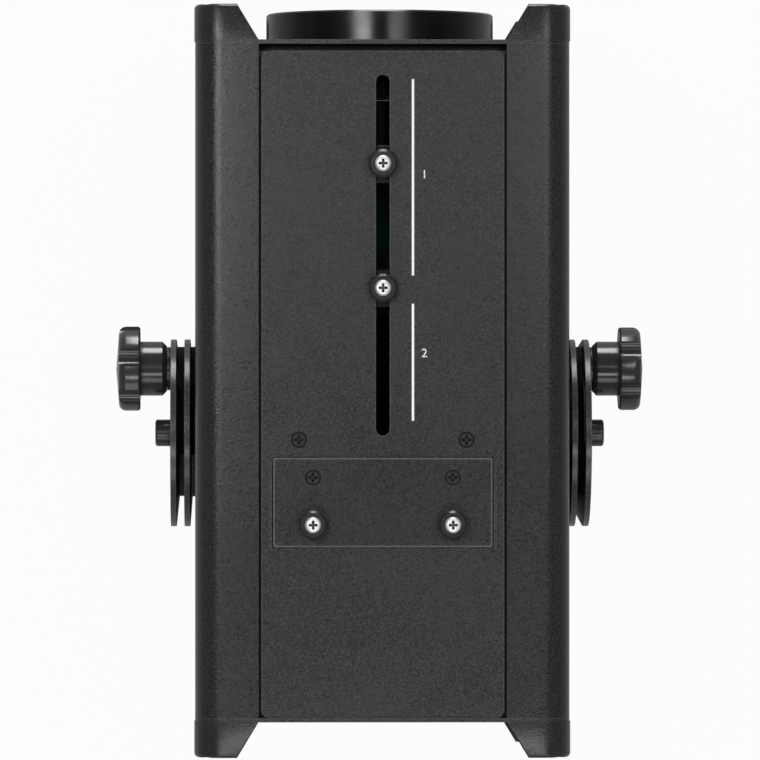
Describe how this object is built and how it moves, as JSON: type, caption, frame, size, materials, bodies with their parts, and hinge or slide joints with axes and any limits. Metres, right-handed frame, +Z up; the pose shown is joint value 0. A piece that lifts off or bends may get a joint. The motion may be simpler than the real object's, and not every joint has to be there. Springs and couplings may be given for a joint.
{
  "type": "gobo projector",
  "caption": "Compact LED gobo projector: square black housing with corner caps, round lens hood, top zoom and focus slot, lift-out gobo holder, nested yokes with clamp knobs.",
  "frame": {"origin": "on the floor under the middle of the projector: the centre of the bounding box's bottom face", "axes": "+Z up, lens towards -Y, connectors towards +Y, +X to the object's left as seen from behind the lens's beam"},
  "size_m": [0.1928, 0.27, 0.2253],
  "materials": {
    "housing_coat": "fine-grained black powder coat on extruded profiles",
    "panel_coat": "fine-grained black powder coat on sheet",
    "yoke_coat": "fine-grained black powder coat on sheet",
    "cap_plastic": "smooth satin black",
    "knob_plastic": "glossy black",
    "thumb_plastic": "satin black",
    "black_anodised": "satin black anodised",
    "bright_steel": "bright plated",
    "black_steel": "black oxide",
    "ground_steel": "ground",
    "bare_aluminium": "bare, milled",
    "lens_glass": "clear, polished",
    "board_green": "green solder resist with dark components",
    "led_yellow": "white board with a yellow emitter",
    "display_black": "glossy black window",
    "fitting_plastic": "matt black",
    "pad_fibre": "matt black fibre"
  },
  "bodies": {
    "outer_yoke": {"outer_yoke": "yoke_coat"},
    "head": {"left_profile": "housing_coat", "right_profile": "housing_coat", "top_panel": "panel_coat", "bottom_panel": "panel_coat", "front_plate": "panel_coat", "rear_plate": "panel_coat", "front_caps": "cap_plastic", "rear_caps": "cap_plastic", "cap_screws": "black_steel", "panel_screws": "black_steel", "lens_hood": "black_anodised", "front_bulkhead": "black_anodised", "guide_rods": "ground_steel", "gobo_bulkhead": "bare_aluminium", "condenser_housing": "black_anodised", "condenser_lens_front": "lens_glass", "condenser_lens_rear": "lens_glass", "led_module": "led_yellow", "heat_sink": "bare_aluminium", "fan_frame": "fitting_plastic", "driver_board": "board_green", "control_board": "board_green", "display": "display_black", "data_in": "fitting_plastic", "data_out": "fitting_plastic", "power_inlet": "fitting_plastic", "connector_screws": "black_steel", "safety_eye": "bright_steel", "friction_pads": "pad_fibre", "pivot_screws": "black_steel", "washers": "black_steel"},
    "inner_yoke": {"inner_yoke": "yoke_coat"},
    "left_clamp_knob": {"left_clamp_knob": "knob_plastic"},
    "right_clamp_knob": {"right_clamp_knob": "knob_plastic"},
    "zoom": {"zoom_tube": "black_anodised", "zoom_lens": "lens_glass", "zoom_lens_ring": "black_anodised"},
    "zoom_thumb": {"zoom_knob": "thumb_plastic", "zoom_screw": "bright_steel"},
    "focus": {"focus_carriage": "black_anodised", "focus_lens": "lens_glass", "focus_lens_ring": "black_anodised"},
    "focus_thumb": {"focus_knob": "thumb_plastic", "focus_screw": "bright_steel"},
    "gobo_unit": {"gobo_cover": "panel_coat", "gobo_holder": "black_steel", "gobo": "ground_steel", "gobo_ring": "ground_steel", "cover_screws": "black_steel"},
    "left_gobo_thumb": {"left_gobo_knob": "thumb_plastic", "left_gobo_screw": "bright_steel"},
    "right_gobo_thumb": {"right_gobo_knob": "thumb_plastic", "right_gobo_screw": "bright_steel"},
    "fan": {"fan_rotor": "fitting_plastic"},
    "button_1": {"button_1": "fitting_plastic"},
    "button_2": {"button_2": "fitting_plastic"},
    "button_3": {"button_3": "fitting_plastic"},
    "button_4": {"button_4": "fitting_plastic"},
    "fuse_drawer": {"fuse_drawer": "fitting_plastic"}
  },
  "joints": [
    {"name": "head_tilt", "type": "hinge", "parent": "outer_yoke", "child": "head", "pos_m": [0, 0.0189, 0.15], "axis": [-1, 0, 0], "range_deg": [-45, 90]},
    {"name": "inner_yoke_swing", "type": "hinge", "parent": "head", "child": "inner_yoke", "pos_m": [0, 0.0189, 0.15], "axis": [-1, 0, 0], "range_deg": [-90, 45]},
    {"name": "left_clamp_knob_turn", "type": "hinge", "parent": "head", "child": "left_clamp_knob", "pos_m": [0.0779, -0.0046, 0.15], "axis": [1, 0, 0], "range_deg": [0, 360]},
    {"name": "right_clamp_knob_turn", "type": "hinge", "parent": "head", "child": "right_clamp_knob", "pos_m": [-0.0779, -0.0046, 0.15], "axis": [-1, 0, 0], "range_deg": [0, 360]},
    {"name": "zoom_slide", "type": "slide", "parent": "head", "child": "zoom", "axis": [0, 1, 0], "range_m": [-0.029, 0.028]},
    {"name": "zoom_knob_turn", "type": "hinge", "parent": "zoom", "child": "zoom_thumb", "pos_m": [0, -0.0777, 0.2163], "axis": [0, 0, 1], "range_deg": [0, 360]},
    {"name": "focus_slide", "type": "slide", "parent": "head", "child": "focus", "axis": [0, 1, 0], "range_m": [-0.002, 0.048]},
    {"name": "focus_knob_turn", "type": "hinge", "parent": "focus", "child": "focus_thumb", "pos_m": [0, -0.0332, 0.2163], "axis": [0, 0, 1], "range_deg": [0, 360]},
    {"name": "gobo_lift", "type": "slide", "parent": "head", "child": "gobo_unit", "axis": [0, 0, 1], "range_m": [0, 0.11]},
    {"name": "left_gobo_knob_turn", "type": "hinge", "parent": "gobo_unit", "child": "left_gobo_thumb", "pos_m": [0.025, 0.0515, 0.2176], "axis": [0, 0, 1], "range_deg": [0, 360]},
    {"name": "right_gobo_knob_turn", "type": "hinge", "parent": "gobo_unit", "child": "right_gobo_thumb", "pos_m": [-0.025, 0.0515, 0.2176], "axis": [0, 0, 1], "range_deg": [0, 360]},
    {"name": "fan_spin", "type": "hinge", "parent": "head", "child": "fan", "pos_m": [0, 0.062, 0.0915], "axis": [0, 0, 1], "continuous": true},
    {"name": "button_1_press", "type": "slide", "parent": "head", "child": "button_1", "axis": [0, -1, 0], "range_m": [0, 0.0008], "stiffness_N_per_m": 400, "springref_m": -0.0005},
    {"name": "button_2_press", "type": "slide", "parent": "head", "child": "button_2", "axis": [0, -1, 0], "range_m": [0, 0.0008], "stiffness_N_per_m": 400, "springref_m": -0.0005},
    {"name": "button_3_press", "type": "slide", "parent": "head", "child": "button_3", "axis": [0, -1, 0], "range_m": [0, 0.0008], "stiffness_N_per_m": 400, "springref_m": -0.0005},
    {"name": "button_4_press", "type": "slide", "parent": "head", "child": "button_4", "axis": [0, -1, 0], "range_m": [0, 0.0008], "stiffness_N_per_m": 400, "springref_m": -0.0005},
    {"name": "fuse_drawer_pull", "type": "slide", "parent": "head", "child": "fuse_drawer", "axis": [0, 1, 0], "range_m": [0, 0.018]}
  ]
}
